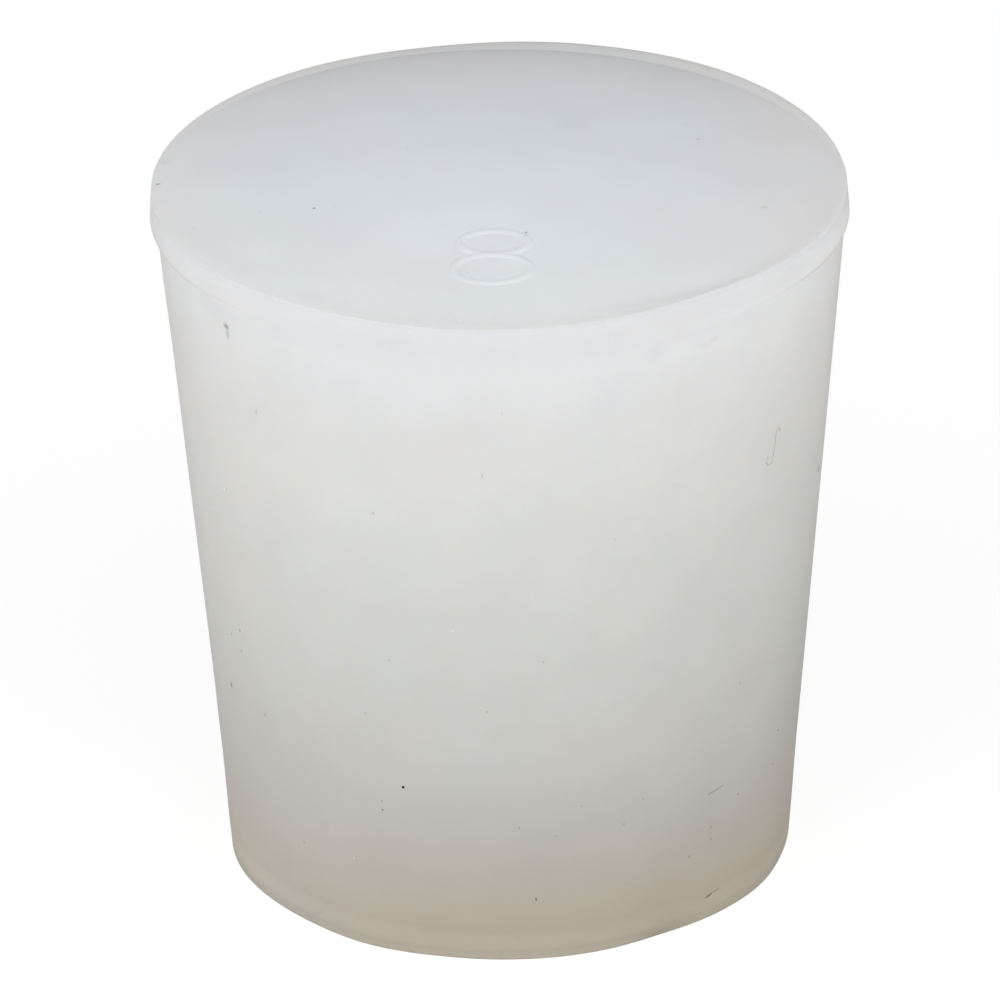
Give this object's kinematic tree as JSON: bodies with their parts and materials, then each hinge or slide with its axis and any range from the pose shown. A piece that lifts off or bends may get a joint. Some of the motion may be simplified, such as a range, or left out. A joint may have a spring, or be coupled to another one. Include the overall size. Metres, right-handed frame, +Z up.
{
  "type": "rubber stopper",
  "caption": "Solid tapered stopper of soft translucent rubber with a low trimmed rim round its large face; it wedges into the neck of a tube, flask or bottle and seals it.",
  "frame": {"origin": "centre of the small flat face, which the stopper stands on", "axes": "+Z up along the taper's axis, from the small face to the large face; X and Y lie in the small face, and seen with +Y pointing away the moulded size number on the large face reads upright"},
  "size_m": [0.0302, 0.0302, 0.0315],
  "materials": {
    "silicone": "satin, translucent milky white"
  },
  "bodies": {
    "root": {"stopper": "silicone"}
  },
  "joints": []
}
